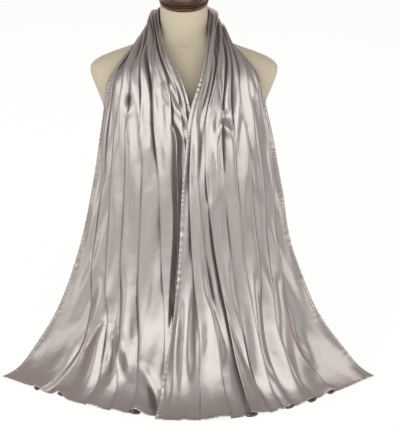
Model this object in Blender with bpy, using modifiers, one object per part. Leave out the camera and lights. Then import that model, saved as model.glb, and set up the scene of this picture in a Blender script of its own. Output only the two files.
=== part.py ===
"""A satin hijab laid round the neck of a tabletop dress form, its two ends spread at the front.

The scarf is one rectangle of cloth. It is gathered round the neck, crosses at a V on the chest,
falls in long pleats and spreads on the surface that the form stands on.
Tables are in millimetres and the scene is in metres, with +Z up and the front towards -Y.
The origin is the middle of the form's underside.
"""

import math
from collections import namedtuple

import bmesh
import bpy
import numpy as np

MM = 0.001

# Driving sizes of the scarf
SCARF_RUN = 933.0  # from the middle of the nape to either hem, measured along the cloth
NECK_RUN = 115.0  # from the middle of the nape to the side of the neck
CLOTH_WALL = 1.0
SEAM_GAP = 0.7  # between two stretches of the same cloth
FLOOR_REST = 0.6  # the wall's middle surface comes no lower than this

# Driving sizes of the dress form
RING_SQUARENESS = 2.3
RING_POINTS = 36
BOARD_HIGH = 8.0
NECK_TOP = 757.0
NECK_SLANT = 0.246  # the neck's top falls this much for each millimetre towards the front
CAP_STEPS = 32
SEAT_GAP = 0.3

Section = namedtuple("Section", "name run outer inner bulge")
Fold = namedtuple("Fold", "name faces across high lap")
Ring = namedtuple("Ring", "name height half_width front back slant")

# One row for each section across the scarf, from the left hem over the nape to the right hem:
# its place along the cloth, its outer and its inner edge, and how far its middle stands forward
SECTIONS = (
    Section("left hem", -933, (-361, -8, 1.5), (85, -268, 1.5), 96),
    Section("left low", -884, (-327, -27, 26), (80, -236, 26), 76),
    Section("left skirt", -827, (-292, -42, 72), (74, -199, 72), 59),
    Section("left flare", -753, (-258, -56, 134), (68, -166, 142), 40),
    Section("left hip", -671, (-228, -64, 206), (62, -146, 224), 31),
    Section("left waist", -573, (-201, -68, 296), (54, -138, 325), 28),
    Section("left under bust", -475, (-181, -69, 388), (44, -135, 427), 30),
    Section("left bust", -401, (-169, -70, 457), (31, -126, 503), 30),
    Section("left crossing", -336, (-161, -70, 520), (15, -113, 568), 25),
    Section("left chest", -279, (-154, -67, 574), (-3, -97, 622), 18),
    Section("left collarbone", -221, (-141, -57, 626), (-29, -70, 668), 12),
    Section("left collar", -172, (-109, -31, 658.8), (-44, -41, 704), 4),
    Section("left neck side", -115, (-86, 12, 678.8), (-51, 4, 736), 0),
    Section("left nape", -60, (-62, 56, 671), (-34.9, 37.4, 742), 0),
    Section("nape", 0, (0, 73, 666), (0, 50.2, 743), 0),
    Section("right nape", 60, (62, 56, 671), (34.9, 37.4, 742), 0),
    Section("right neck side", 115, (86, 12, 678.6), (51, 4, 736), 0),
    Section("right collar", 172, (112, -31, 658.6), (48, -41, 706), 4),
    Section("right collarbone", 221, (144, -57, 628), (42, -68, 676), 12),
    Section("right chest", 279, (158, -68, 578), (30, -100, 626), 18),
    Section("right crossing", 336, (170, -72, 520), (12, -128, 572), 25),
    Section("right bust", 401, (181, -73, 455), (4, -146, 505), 30),
    Section("right under bust", 475, (193, -72, 388), (-3, -158, 428), 30),
    Section("right waist", 573, (208, -70, 297), (-8, -162, 326), 28),
    Section("right hip", 671, (237, -66, 210), (-15, -168, 226), 32),
    Section("right flare", 753, (268, -58, 138), (-24, -188, 143), 42),
    Section("right skirt", 827, (308, -42, 74), (-38, -226, 72), 58),
    Section("right low", 884, (345, -24, 28), (-47, -256, 26), 80),
    Section("right hem", 933, (377, -4, 1.5), (-55, -290, 1.5), 102),
)

# Where the columns of the fold tables are, as shares of the length from the neck's side to the hem
FOLD_STATIONS = (0.0, 0.16, 0.30, 0.56, 0.82, 1.0)  # neck, chest, bust, waist, flare, hem

# One row for each fold from the outer edge to the inner one: which way its edge faces, its share
# of the way across, its height, and how far it laps over itself (open where that is below 0)
LEFT_FOLDS = (
    Fold("edge strip", "in", (0.08, 0.10, 0.075, 0.10, 0.21, 0.18),
         (6, 10, 10, 10, 9, 12), (-5, 7, 6, 18, 14, -10)),
    Fold("side pleat", "out", (0.30, 0.25, 0.17, 0.21, 0.35, 0.39),
         (10, 15, 13, 12, 13, 15), (-5, 12, 18, 22, 20, -12)),
    Fold("soft ridge", "out", (0.46, 0.38, 0.29, 0.32, 0.43, 0.50),
         (7, 11, 10, 11, 9, 8), (-5, 9, 12, 23, 16, -10)),
    Fold("long pleat", "out", (0.62, 0.52, 0.45, 0.455, 0.535, 0.59),
         (10, 16, 14, 13, 13, 17), (-5, 14, 20, 31, 28, -2)),
    Fold("band outer", "out", (0.76, 0.66, 0.59, 0.62, 0.69, 0.71),
         (12, 17, 14, 12, 8, 6), (-5, 10, 8, 9, 4, -10)),
    Fold("band inner", "in", (0.82, 0.83, 0.76, 0.71, 0.725, 0.75),
         (11, 15, 13, 12, 8, 6), (-4, 5, 7, 9, -2, -8)),
    Fold("cowl", "in", (0.90, 0.905, 0.87, 0.81, 0.81, 0.83),
         (6, 6, 8, 10, 8, 6), (-3, -1, 3, 17, 16, -6)),
    Fold("under fold", "in", (0.97, 0.97, 0.94, 0.91, 0.91, 0.92),
         (0, 0, 4, 9, 8, 6), (-1, -2, -1, 15, 16, -6)),
)
RIGHT_FOLDS = (
    Fold("edge pleat", "out", (0.16, 0.11, 0.09, 0.138, 0.205, 0.20),
         (7, 11, 10, 10, 11, 14), (-5, 9, 10, 16, 18, -8)),
    Fold("side pleat", "out", (0.33, 0.29, 0.20, 0.222, 0.315, 0.30),
         (10, 14, 13, 11, 9, 9), (-5, 12, 16, 18, 16, -8)),
    Fold("long pleat", "out", (0.47, 0.44, 0.34, 0.318, 0.395, 0.40),
         (12, 16, 15, 13, 14, 15), (-5, 14, 19, 23, 16, 0)),
    Fold("breast ridge", "out", (0.54, 0.55, 0.48, 0.45, 0.45, 0.44),
         (5, 10, 11, 12, 9, 6), (-4, 8, 14, 22, 14, -8)),
    Fold("bust fold", "out", (0.62, 0.66, 0.62, 0.57, 0.52, 0.50),
         (9, 15, 11, 10, 7, 6), (-5, 9, 6, 6, 4, -10)),
    Fold("middle pleat", "in", (0.67, 0.77, 0.80, 0.70, 0.60, 0.57),
         (10, 12, 10, 13, 14, 15), (-4, 2, 4, 20, 18, -4)),
    Fold("valley pleat", "out", (0.83, 0.87, 0.87, 0.79, 0.69, 0.67),
         (10, 9, 8, 11, 12, 10), (-4, 1, 2, 11, 14, -8)),
    Fold("front band", "in", (0.91, 0.94, 0.95, 0.896, 0.81, 0.79),
         (9, 7, 7, 9, 8, 7), (-3, 0, 2, 9, 8, -10)),
)
RIDGE_SHARE = 0.65  # of a fold's height stands proud of the section, the rest is its tuck
TURN_ROUND = 1.1  # how far the cloth runs on before it turns back, for each mm of height
TURN_STEPS = 3
PANEL_STEPS = 3
FRONT_ROWS = 27
NAPE_ROWS = 13

# One row for each ring of the dress form: height, half its width, how far it reaches to the
# front and to the back, and how much it falls towards the front
FORM_RINGS = (
    Ring("base", BOARD_HIGH + SEAT_GAP, 157, 104, 108, 0.0),
    Ring("low hip", 50, 164, 107, 115, 0.0),
    Ring("hip", 115, 167, 109, 118, 0.0),
    Ring("high hip", 185, 153, 104, 107, 0.0),
    Ring("below waist", 245, 130, 97, 90, 0.0),
    Ring("waist", 295, 119, 93, 81, 0.0),
    Ring("above waist", 345, 124, 97, 84, 0.0),
    Ring("ribs", 400, 137, 107, 91, 0.0),
    Ring("under bust", 440, 145, 114, 96, 0.0),
    Ring("bust", 475, 149, 115, 99, 0.0),
    Ring("above bust", 515, 152, 105, 101, 0.0),
    Ring("armhole", 555, 158, 92, 101, 0.0),
    Ring("upper arm", 590, 171, 78, 97, 0.0),
    Ring("shoulder edge", 617, 181, 64, 89, 0.0),
    Ring("shoulder tip", 632, 181, 55, 80, 0.0),
    Ring("outer shoulder", 646, 165, 46, 70, 0.0),
    Ring("shoulder", 658, 136, 40, 62, 0.0),
    Ring("inner shoulder", 670, 101, 37, 56, 0.02),
    Ring("neck root", 683, 70, 38, 52, 0.05),
    Ring("neck foot", 698, 52, 41, 49, 0.10),
    Ring("neck", 725, 46, 44, 47, 0.18),
    Ring("neck top", 757, 46, 46, 46, 0.246),
)

# The turned neck cap's outline, as radius and height above the neck's slanted top
CAP_OUTLINE = (
    (0.0, 52.0), (12.0, 51.0), (22.0, 47.5), (27.0, 43.0), (28.0, 38.0), (31.0, 36.0),
    (40.0, 33.0), (46.0, 27.0), (48.0, 20.0), (47.0, 13.0), (44.5, 10.0), (44.5, 8.0),
    (47.0, 6.5), (48.0, 4.0), (47.0, 1.2), (45.5, 0.0), (0.0, 0.0),
)


def clear_scene():
    for obj in list(bpy.data.objects):
        bpy.data.objects.remove(obj)


def new_collection(name):
    collection = bpy.data.collections.new(name)
    bpy.context.scene.collection.children.link(collection)
    return collection


def new_material(name, colour, roughness, metallic=0.0):
    material = bpy.data.materials.new(name)
    material.use_nodes = True
    shader = material.node_tree.nodes["Principled BSDF"]
    shader.inputs["Base Color"].default_value = (*colour, 1.0)
    shader.inputs["Roughness"].default_value = roughness
    shader.inputs["Metallic"].default_value = metallic
    return material


def natural_spline(knots, values):
    """The cubic through these rows of values with no bend at either end, as a function."""
    knots = np.asarray(knots, float)
    values = np.asarray(values, float)
    gaps = np.diff(knots)
    slopes = np.diff(values, axis=0) / gaps[:, None]
    count = len(knots)
    system = np.eye(count)
    target = np.zeros_like(values)
    for i in range(1, count - 1):
        system[i, i - 1] = gaps[i - 1]
        system[i, i] = 2.0 * (gaps[i - 1] + gaps[i])
        system[i, i + 1] = gaps[i]
        target[i] = 6.0 * (slopes[i] - slopes[i - 1])
    bends = np.linalg.solve(system, target)

    def at(place):
        i = int(np.clip(np.searchsorted(knots, place) - 1, 0, count - 2))
        gap = gaps[i]
        before = (knots[i + 1] - place) / gap
        after = 1.0 - before
        curve = (before**3 - before) * bends[i] + (after**3 - after) * bends[i + 1]
        return before * values[i] + after * values[i + 1] + curve * gap * gap / 6.0

    return at


def easing(knots, values, place):
    """A value between table columns, with no overshoot past either neighbour."""
    knots = np.asarray(knots, float)
    values = np.asarray(values, float)
    gaps = np.diff(knots)
    rises = np.diff(values) / gaps
    slopes = np.zeros(len(values))
    for i in range(1, len(values) - 1):
        if rises[i - 1] * rises[i] > 0:
            slopes[i] = 2.0 / (1.0 / rises[i - 1] + 1.0 / rises[i])
    i = int(np.clip(np.searchsorted(knots, place) - 1, 0, len(gaps) - 1))
    s = (place - knots[i]) / gaps[i]
    return (
        values[i] * (2 * s**3 - 3 * s**2 + 1)
        + slopes[i] * gaps[i] * (s**3 - 2 * s**2 + s)
        + values[i + 1] * (3 * s**2 - 2 * s**3)
        + slopes[i + 1] * gaps[i] * (s**3 - s**2)
    )


SECTION_AT = natural_spline(
    [row.run for row in SECTIONS],
    [(*row.outer, *row.inner, row.bulge) for row in SECTIONS],
)


def middle_surface(run, across):
    """Points of the unfolded scarf at one place along it, for shares of the way across."""
    row = SECTION_AT(run)
    outer, inner, bulge = row[0:3], row[3:6], row[6]
    across = np.asarray(across, float)[:, None]
    forward = np.array((0.0, -1.0, 0.0))
    return outer + (inner - outer) * across + forward * bulge * np.sin(math.pi * across)


def outward(run, across):
    """Unit vectors that point out of the unfolded scarf, away from the dress form."""
    step_run, step_across = 1.0, 0.005
    along = middle_surface(run + step_run, across) - middle_surface(run - step_run, across)
    over = middle_surface(run, across + step_across) - middle_surface(run, across - step_across)
    normal = np.cross(over, along)
    return normal / np.linalg.norm(normal, axis=1)[:, None]


def width_across(run):
    row = SECTION_AT(run)
    return float(np.linalg.norm(row[3:6] - row[0:3]))


def turn(start, end, reach_start, reach_end, steps):
    """Places from start to end, leaving and arriving inwards at the given speeds."""
    s = np.arange(1, steps + 1) / steps
    return (
        start * (2 * s**3 - 3 * s**2 + 1)
        + reach_start * (s**3 - 2 * s**2 + s)
        + end * (3 * s**2 - 2 * s**3)
        + reach_end * (s**3 - s**2)
    )


def folded_section(folds, share, width):
    """The folded cloth at one section: (share of the way across, height off the section)."""
    knots = [(0.0, 0.0, "edge")]
    for fold in folds:
        ridge_at = width * easing(FOLD_STATIONS, fold.across, share)
        high = easing(FOLD_STATIONS, fold.high, share)
        lap = easing(FOLD_STATIONS, fold.lap, share)
        side = 1.0 if fold.faces == "out" else -1.0
        ridge = (ridge_at, RIDGE_SHARE * high, fold.name)
        tuck = (ridge_at + side * lap, (RIDGE_SHARE - 1.0) * high, fold.name)
        knots += [tuck, ridge] if fold.faces == "out" else [ridge, tuck]
    knots.append((width, 0.0, "edge"))
    places, heights = [np.zeros(1)], [np.zeros(1)]
    for first, second in zip(knots, knots[1:]):
        step = second[0] - first[0]
        if first[2] == second[2]:
            steps, reach = TURN_STEPS, max(TURN_ROUND * abs(second[1] - first[1]), step)
        else:
            steps, reach = PANEL_STEPS, step
        places.append(turn(first[0], second[0], reach, reach, steps))
        heights.append(turn(first[1], second[1], 0.0, 0.0, steps))
    return np.concatenate(places) / width, np.concatenate(heights)


def section_at(run):
    """The folded cloth at any place along the scarf."""
    beyond_neck = abs(run) - NECK_RUN
    if beyond_neck >= 0.0:
        folds = LEFT_FOLDS if run < 0 else RIGHT_FOLDS
        share = min(1.0, beyond_neck / (SCARF_RUN - NECK_RUN))
        return folded_section(folds, share, width_across(run))
    left = folded_section(LEFT_FOLDS, 0.0, width_across(run))
    right = folded_section(RIGHT_FOLDS, 0.0, width_across(run))
    mix = 0.5 + 0.5 * run / NECK_RUN
    mix = mix * mix * (3.0 - 2.0 * mix)
    return tuple(a * (1.0 - mix) + b * mix for a, b in zip(left, right))


def cloth_row(run):
    across, height = section_at(run)
    points = middle_surface(run, across) + outward(run, across) * height[:, None]
    points[:, 2] = np.maximum(points[:, 2], FLOOR_REST)
    return points


def bmesh_object(name, bm, collection, material):
    mesh = bpy.data.meshes.new(name)
    bm.to_mesh(mesh)
    bm.free()
    obj = bpy.data.objects.new(name, mesh)
    mesh.materials.append(material)
    collection.objects.link(obj)
    return obj


def lofted(rows):
    """A grid of faces through rows of points, all of one length, as a bmesh."""
    bm = bmesh.new()
    across, along = len(rows[0]), len(rows)
    bmesh.ops.create_grid(bm, x_segments=across - 1, y_segments=along - 1, size=1.0)
    # create_grid lists its vertices row by row, which is the order of the points
    for vertex, point in zip(bm.verts, np.concatenate(rows)):
        vertex.co = point * MM
    return bm


def cloth_stretch(name, first_run, last_run, row_count, collection, material):
    """One stretch of the scarf as a wall of even thickness."""
    rows = [cloth_row(run) for run in np.linspace(first_run, last_run, row_count)]
    scarf = bmesh_object(name, lofted(rows), collection, material)
    scarf.data.shade_smooth()
    wall = scarf.modifiers.new("wall", "SOLIDIFY")
    wall.thickness = CLOTH_WALL * MM
    wall.offset = 0.0
    return scarf


def make_scarf(collection):
    satin = new_material("satin", (0.42, 0.38, 0.36), 0.35)
    half_gap = SEAM_GAP / 2.0
    front = NECK_RUN + half_gap
    nape = NECK_RUN - half_gap
    cloth_stretch("scarf_left_end", -SCARF_RUN, -front, FRONT_ROWS, collection, satin)
    cloth_stretch("scarf_nape", -nape, nape, NAPE_ROWS, collection, satin)
    cloth_stretch("scarf_right_end", front, SCARF_RUN, FRONT_ROWS, collection, satin)


def ring_points(ring):
    """Points round one ring of the form, squarer than an ellipse."""
    turn_by = np.arange(RING_POINTS) * 2.0 * math.pi / RING_POINTS
    power = 2.0 / RING_SQUARENESS
    x = ring.half_width * np.sign(np.cos(turn_by)) * np.abs(np.cos(turn_by)) ** power
    y = np.sign(np.sin(turn_by)) * np.abs(np.sin(turn_by)) ** power
    y = y * np.where(y < 0, ring.front, ring.back)
    return np.stack([x, y, ring.height + ring.slant * y], axis=1)


def make_form_body(collection):
    """The torso and neck as one smooth closed body."""
    linen = new_material("linen_cover", (0.60, 0.52, 0.42), 0.85)
    bm = bmesh.new()
    loops = []
    for ring in FORM_RINGS:
        verts = bmesh.ops.create_circle(bm, segments=RING_POINTS, radius=1.0)["verts"]
        for vertex, point in zip(verts, ring_points(ring)):
            vertex.co = point * MM
        loops.append(list({edge for vertex in verts for edge in vertex.link_edges}))
    for lower, upper in zip(loops, loops[1:]):
        bmesh.ops.bridge_loops(bm, edges=lower + upper)
    bmesh.ops.contextual_create(bm, geom=loops[0])
    bmesh.ops.contextual_create(bm, geom=loops[-1])
    bmesh.ops.recalc_face_normals(bm, faces=bm.faces)
    body = bmesh_object("form_body", bm, collection, linen)
    body.data.shade_smooth()
    return body


def make_form_board(collection):
    """The board that closes the form's underside, which stands on the surface."""
    board_material = new_material("base_board", (0.25, 0.16, 0.10), 0.5)
    inset = 0.97
    base = FORM_RINGS[0]
    bm = bmesh.new()
    bmesh.ops.create_cone(
        bm, cap_ends=True, segments=RING_POINTS, radius1=1.0, radius2=1.0, depth=1.0
    )
    for vertex in bm.verts:
        reach = base.front if vertex.co.y < 0 else base.back
        vertex.co.x *= base.half_width * inset * MM
        vertex.co.y *= reach * inset * MM
        vertex.co.z = (vertex.co.z + 0.5) * BOARD_HIGH * MM
    return bmesh_object("form_board", bm, collection, board_material)


def make_neck_cap(collection):
    """The turned wooden cap on the neck's slanted top."""
    wood = new_material("dark_wood", (0.07, 0.035, 0.025), 0.25)
    bm = bmesh.new()
    verts = [bm.verts.new((radius * MM, 0.0, height * MM)) for radius, height in CAP_OUTLINE]
    for first, second in zip(verts, verts[1:]):
        bm.edges.new((first, second))
    cap = bmesh_object("form_neck_cap", bm, collection, wood)
    screw = cap.modifiers.new("turned", "SCREW")
    screw.steps = screw.render_steps = CAP_STEPS
    screw.use_merge_vertices = True
    screw.merge_threshold = 0.00001
    screw.use_smooth_shade = True
    cap.location = (0.0, 0.0, (NECK_TOP + SEAT_GAP) * MM)
    cap.rotation_euler = (math.atan(NECK_SLANT), 0.0, 0.0)
    return cap


def main():
    clear_scene()
    collection = new_collection("hijab on a dress form")
    make_form_board(collection)
    make_form_body(collection)
    make_neck_cap(collection)
    make_scarf(collection)


main()
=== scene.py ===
"""Looks for a satin hijab laid round the neck of a limbless tabletop dress form.

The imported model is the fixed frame. The scarf's two halves are thin sheets on their solids' form,
with the finer creases, puckered hems and stitches added. The form gets its linen cover and turned
cap. Tables are in millimetres and the scene is in metres, with +Z up and the front towards -Y.
"""

import math
from collections import namedtuple
from functools import cache

import bmesh
import bpy
import numpy as np
from bpy.props import FloatProperty, FloatVectorProperty, IntProperty, PointerProperty
from mathutils import Matrix, Vector
from mathutils.bvhtree import BVHTree


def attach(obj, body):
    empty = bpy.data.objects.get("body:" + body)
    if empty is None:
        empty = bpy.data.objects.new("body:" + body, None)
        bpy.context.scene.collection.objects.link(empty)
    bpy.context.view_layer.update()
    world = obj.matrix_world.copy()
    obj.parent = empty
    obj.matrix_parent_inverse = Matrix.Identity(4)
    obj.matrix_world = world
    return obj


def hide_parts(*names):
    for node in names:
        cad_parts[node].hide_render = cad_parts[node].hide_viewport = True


bl_info = {
    "name": "Satin hijab on a dress form",
    "version": (1, 0, 0),
    "blender": (4, 5, 0),
    "location": "3D View > Sidebar > Hijab",
    "description": "Builds the scarf, the dress form and the stage round the packed model",
    "category": "Object",
}

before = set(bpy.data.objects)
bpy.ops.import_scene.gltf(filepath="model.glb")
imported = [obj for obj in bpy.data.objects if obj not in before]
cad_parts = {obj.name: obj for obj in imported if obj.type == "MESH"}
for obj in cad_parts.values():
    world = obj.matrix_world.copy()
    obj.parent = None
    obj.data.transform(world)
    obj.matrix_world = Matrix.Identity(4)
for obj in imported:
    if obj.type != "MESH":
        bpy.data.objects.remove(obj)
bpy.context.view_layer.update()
MM = 0.001

# The scarf's form, which repeats the solids' sections
SCARF_RUN = 933.0  # from the middle of the nape to either hem, measured along the cloth
CUT_WIDTH = 650.0
NECK_RUN = 115.0  # from the middle of the nape to the side of the neck
RIDGE_SHARE = 0.65  # of a fold's height stands proud of the section, the rest is its tuck
TURN_ROUND = 1.1  # how far the cloth runs on before it turns back, for each mm of height
SLACK_HIGH = 0.42  # of each of the low waves that any soft cloth has
GATHER_HIGH = 9.5  # from the valleys to the crests of the gathers at the neck
GATHER_REACH = (275.0, 345.0)  # from the nape's middle to where the left and right gathers end
GATHER_COUNTS = (16.0, 10.0, 5.0)  # across the cloth, at the nape, beside the neck and below it
FLARE_HIGH = 6.0  # half the height of the swells near the hem
FLARE_SWELLS = 5.0  # across the cloth
PUCKER_DEPTH = 9.0  # how far in from a stitched edge its puckers go
HEM_REACH = 46.0  # how far in from the hem its curls begin
FLOOR_GAP = 0.9  # least height of the sheet's middle above the floor

# The sheet's mesh: steps over each panel, each turn between two panels and each outermost panel,
# and rows over the long part and over the last stretch before the hem
LAST_SEGMENT = 16
PANEL_STEPS, TURN_STEPS, EDGE_STEPS = 11, 7, 16
EDGE_CROWDING = 1.35
LONG_ROWS, HEM_ROWS, HEM_STRETCH = 236, 22, 40.0

# The hem's band: its points from the edge inwards as shares of its width, how far each stands out
# as a share of its thickness, the point under the stitches, and its steps along and across
BAND_SHARES = np.array([0.0, 0.12, 0.35, 0.6, 0.82, 0.93, 1.0])
BAND_RISE = np.array([0.35, 0.9, 1.0, 0.9, 0.62, 0.8, 0.3])
STITCHED = 4
BAND_THICK = 1.0
BAND_LONG_STEPS, BAND_HEM_STEPS = 720, 620

Section = namedtuple("Section", "run outer inner bulge")
Fold = namedtuple("Fold", "name faces across high lap")
Crease = namedtuple("Crease", "name wide high runs shares lies", defaults=("along",))
Curl = namedtuple("Curl", "share wide high back")
Ring = namedtuple("Ring", "height half_width front back slant", defaults=(0.0,))
Softbox = namedtuple("Softbox", "name place aim wide high share")

# One row for each section across the scarf, from the left hem over the nape to the right hem:
# its place along the cloth, its outer and its inner edge, and how far its middle stands forward
SECTIONS = (
    Section(-933, (-361, -8, 1.5), (85, -268, 1.5), 96),
    Section(-884, (-327, -27, 26), (80, -236, 26), 76),
    Section(-827, (-292, -42, 72), (74, -199, 72), 59),
    Section(-753, (-258, -56, 134), (68, -166, 142), 40),
    Section(-671, (-228, -64, 206), (62, -146, 224), 31),
    Section(-573, (-201, -68, 296), (54, -138, 325), 28),
    Section(-475, (-181, -69, 388), (44, -135, 427), 30),
    Section(-401, (-169, -70, 457), (31, -126, 503), 30),
    Section(-336, (-161, -70, 520), (15, -113, 568), 25),
    Section(-279, (-154, -67, 574), (-3, -97, 622), 18),
    Section(-221, (-141, -57, 626), (-29, -70, 668), 12),
    Section(-172, (-109, -31, 658.8), (-44, -41, 704), 4),
    Section(-115, (-86, 12, 678.8), (-51, 4, 736), 0),
    Section(-60, (-62, 56, 671), (-34.9, 37.4, 742), 0),
    Section(0, (0, 73, 666), (0, 50.2, 743), 0),
    Section(60, (62, 56, 671), (34.9, 37.4, 742), 0),
    Section(115, (86, 12, 678.6), (51, 4, 736), 0),
    Section(172, (112, -31, 658.6), (48, -41, 706), 4),
    Section(221, (144, -57, 628), (42, -68, 676), 12),
    Section(279, (158, -68, 578), (30, -100, 626), 18),
    Section(336, (170, -72, 520), (12, -128, 572), 25),
    Section(401, (181, -73, 455), (4, -146, 505), 30),
    Section(475, (193, -72, 388), (-3, -158, 428), 30),
    Section(573, (208, -70, 297), (-8, -162, 326), 28),
    Section(671, (237, -66, 210), (-15, -168, 226), 32),
    Section(753, (268, -58, 138), (-24, -188, 143), 42),
    Section(827, (308, -42, 74), (-38, -226, 72), 58),
    Section(884, (345, -24, 28), (-47, -256, 26), 80),
    Section(933, (377, -4, 1.5), (-55, -290, 1.5), 102),
)

# Where the columns of the fold tables are, as shares of the length from the neck's side to the hem
FOLD_STATIONS = (0.0, 0.16, 0.30, 0.56, 0.82, 1.0)  # neck, chest, bust, waist, flare, hem

# One row for each fold from the outer edge to the inner one: which way its edge faces, its share
# of the way across, its height, and how far it laps over itself (open where that is below 0)
LEFT_FOLDS = (
    Fold("edge strip", "in", (0.08, 0.10, 0.075, 0.10, 0.21, 0.18),
         (6, 6, 4, 3, 4, 10), (-5, 0, -3, -2, -2, -10)),
    Fold("side pleat", "out", (0.30, 0.25, 0.17, 0.21, 0.35, 0.39),
         (10, 15, 13, 12, 12, 11), (-5, 12, 18, 22, 20, -12)),
    Fold("soft ridge", "out", (0.46, 0.38, 0.29, 0.32, 0.43, 0.50),
         (7, 11, 10, 11, 9, 8), (-5, 9, 12, 23, 16, -10)),
    Fold("long pleat", "out", (0.62, 0.52, 0.45, 0.455, 0.535, 0.59),
         (10, 16, 14, 13, 12, 12), (-5, 14, 20, 31, 28, -2)),
    Fold("band outer", "out", (0.76, 0.66, 0.59, 0.62, 0.69, 0.71),
         (12, 17, 14, 12, 8, 6), (-5, 10, 8, 9, 4, -10)),
    Fold("band inner", "in", (0.82, 0.83, 0.76, 0.71, 0.725, 0.75),
         (11, 15, 13, 12, 8, 6), (-4, 5, 7, 9, -2, -8)),
    Fold("cowl", "in", (0.90, 0.905, 0.87, 0.81, 0.81, 0.83),
         (6, 3, 4, 10, 8, 6), (-3, -1, -1, 17, 16, -6)),
    Fold("under fold", "in", (0.97, 0.97, 0.94, 0.91, 0.91, 0.92),
         (0, 0, 4, 9, 8, 6), (-1, -2, -1, 15, 16, -6)),
)
RIGHT_FOLDS = (
    Fold("edge pleat", "out", (0.16, 0.11, 0.09, 0.138, 0.205, 0.20),
         (7, 11, 10, 10, 10, 10), (-5, 9, 10, 16, 18, -8)),
    Fold("side pleat", "out", (0.33, 0.29, 0.20, 0.222, 0.315, 0.30),
         (10, 14, 13, 11, 9, 9), (-5, 12, 16, 18, 16, -8)),
    Fold("long pleat", "out", (0.47, 0.44, 0.34, 0.318, 0.395, 0.40),
         (12, 16, 15, 13, 12, 11), (-5, 14, 19, 23, 16, 0)),
    Fold("breast ridge", "out", (0.54, 0.55, 0.48, 0.45, 0.45, 0.44),
         (5, 10, 11, 12, 9, 6), (-4, 8, 14, 22, 14, -8)),
    Fold("bust fold", "out", (0.62, 0.66, 0.62, 0.57, 0.52, 0.50),
         (9, 15, 11, 10, 7, 6), (-5, 9, 6, 6, 4, -10)),
    Fold("middle pleat", "in", (0.67, 0.77, 0.80, 0.70, 0.60, 0.57),
         (10, 12, 9, 9, 9, 12), (-4, 2, 4, 20, 18, -4)),
    Fold("valley pleat", "out", (0.83, 0.87, 0.87, 0.79, 0.69, 0.67),
         (10, 5, 4, 11, 12, 10), (-4, 0, 0, 11, 14, -8)),
    Fold("front band", "in", (0.91, 0.94, 0.95, 0.896, 0.81, 0.79),
         (9, 4, 5, 9, 8, 7), (-3, 0, 1, 9, 8, -10)),
)

# One row for each finer crease: its half width, how far it rises (a trough is below 0), and its
# path as places along the cloth and shares of the way over. Most lie along the cloth, three across
LEFT_CREASES = (
    Crease("valley under the neck", 5, -4.5, (110, 155, 210, 260, 350),
           (0.895, 0.84, 0.745, 0.64, 0.57)),
    Crease("collar tuck", 5, -3.0, (120, 160, 205), (0.555, 0.565, 0.57)),
    Crease("shoulder dimple", 4.5, -6.5, (272, 285, 299), (0.333, 0.325, 0.32)),
    Crease("dimple's lip", 7, 3.5, (300, 312, 300), (0.27, 0.32, 0.37), "across"),
    Crease("pinch under the dimple", 5, 2.8, (312, 370, 470), (0.296, 0.276, 0.27)),
    Crease("pleat head", 9, 3.5, (330, 366, 410), (0.50, 0.445, 0.455)),
    Crease("pleat shadow", 8, -3.5, (385, 425, 470), (0.52, 0.52, 0.51)),
    Crease("cowl crest", 10, 5.5, (195, 265, 325), (0.95, 0.90, 0.955)),
    Crease("cowl crest low", 8, 6.0, (270, 325, 366), (0.77, 0.845, 0.965)),
    Crease("cowl crest last", 7, 5.0, (308, 349, 395), (0.77, 0.81, 0.89)),
    Crease("dark gap beside the band", 6.5, -17.0,
           (345, 401, 457, 513, 573, 633, 689, 760),
           (0.81, 0.780, 0.760, 0.748, 0.742, 0.733, 0.722, 0.715)),
    Crease("tent side", 9, -8.0, (690, 750, 810), (0.30, 0.275, 0.24)),
    Crease("tent other side", 10, -8.0, (690, 775, 870), (0.295, 0.355, 0.42)),
    Crease("skirt swell", 11, 7.0, (745, 800, 855), (0.345, 0.43, 0.50)),
    Crease("skirt swell two", 10, -7.0, (755, 800, 855), (0.42, 0.47, 0.52)),
    Crease("hem swell", 12, -7.5, (815, 875, 940), (0.56, 0.665, 0.70)),
)
RIGHT_CREASES = (
    Crease("valley under the neck", 5, -4.5, (130, 180, 240, 300, 350),
           (0.885, 0.76, 0.745, 0.65, 0.53)),
    Crease("second valley", 5, -3.0, (235, 295, 350), (0.765, 0.755, 0.73)),
    Crease("breast curl", 9, 7.0, (358, 349, 345, 352), (0.49, 0.56, 0.61, 0.67), "across"),
    Crease("breast hollow", 10, -6.0, (328, 326, 334), (0.50, 0.57, 0.64), "across"),
    Crease("bright ridge", 7, 6.5, (350, 400, 465, 520), (0.64, 0.675, 0.665, 0.75)),
    Crease("shoulder fold", 7, -3.0, (140, 205, 275), (0.05, 0.20, 0.08)),
    Crease("front sweep", 10, -8.0, (520, 635, 712, 785, 850, 920),
           (0.715, 0.65, 0.605, 0.55, 0.515, 0.55)),
    Crease("inner sweep", 9, -7.0, (600, 695, 788, 852), (0.79, 0.715, 0.645, 0.68)),
    Crease("outer sweep", 9, -7.0, (735, 800, 860), (0.165, 0.183, 0.197)),
)

# One row for each place where the hem curls up off the surface: its share of the way across, its
# half width, how high its edge stands and how far the edge rolls back
LEFT_CURLS = (
    Curl(0.166, 10, 3, 3), Curl(0.253, 14, 13, 6), Curl(0.60, 16, 3, 6),
)
RIGHT_CURLS = (
    Curl(0.59, 17, 4, 2), Curl(0.40, 15, 2, 2), Curl(0.29, 15, 2, 2), Curl(0.215, 14, 5, 5),
)

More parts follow.
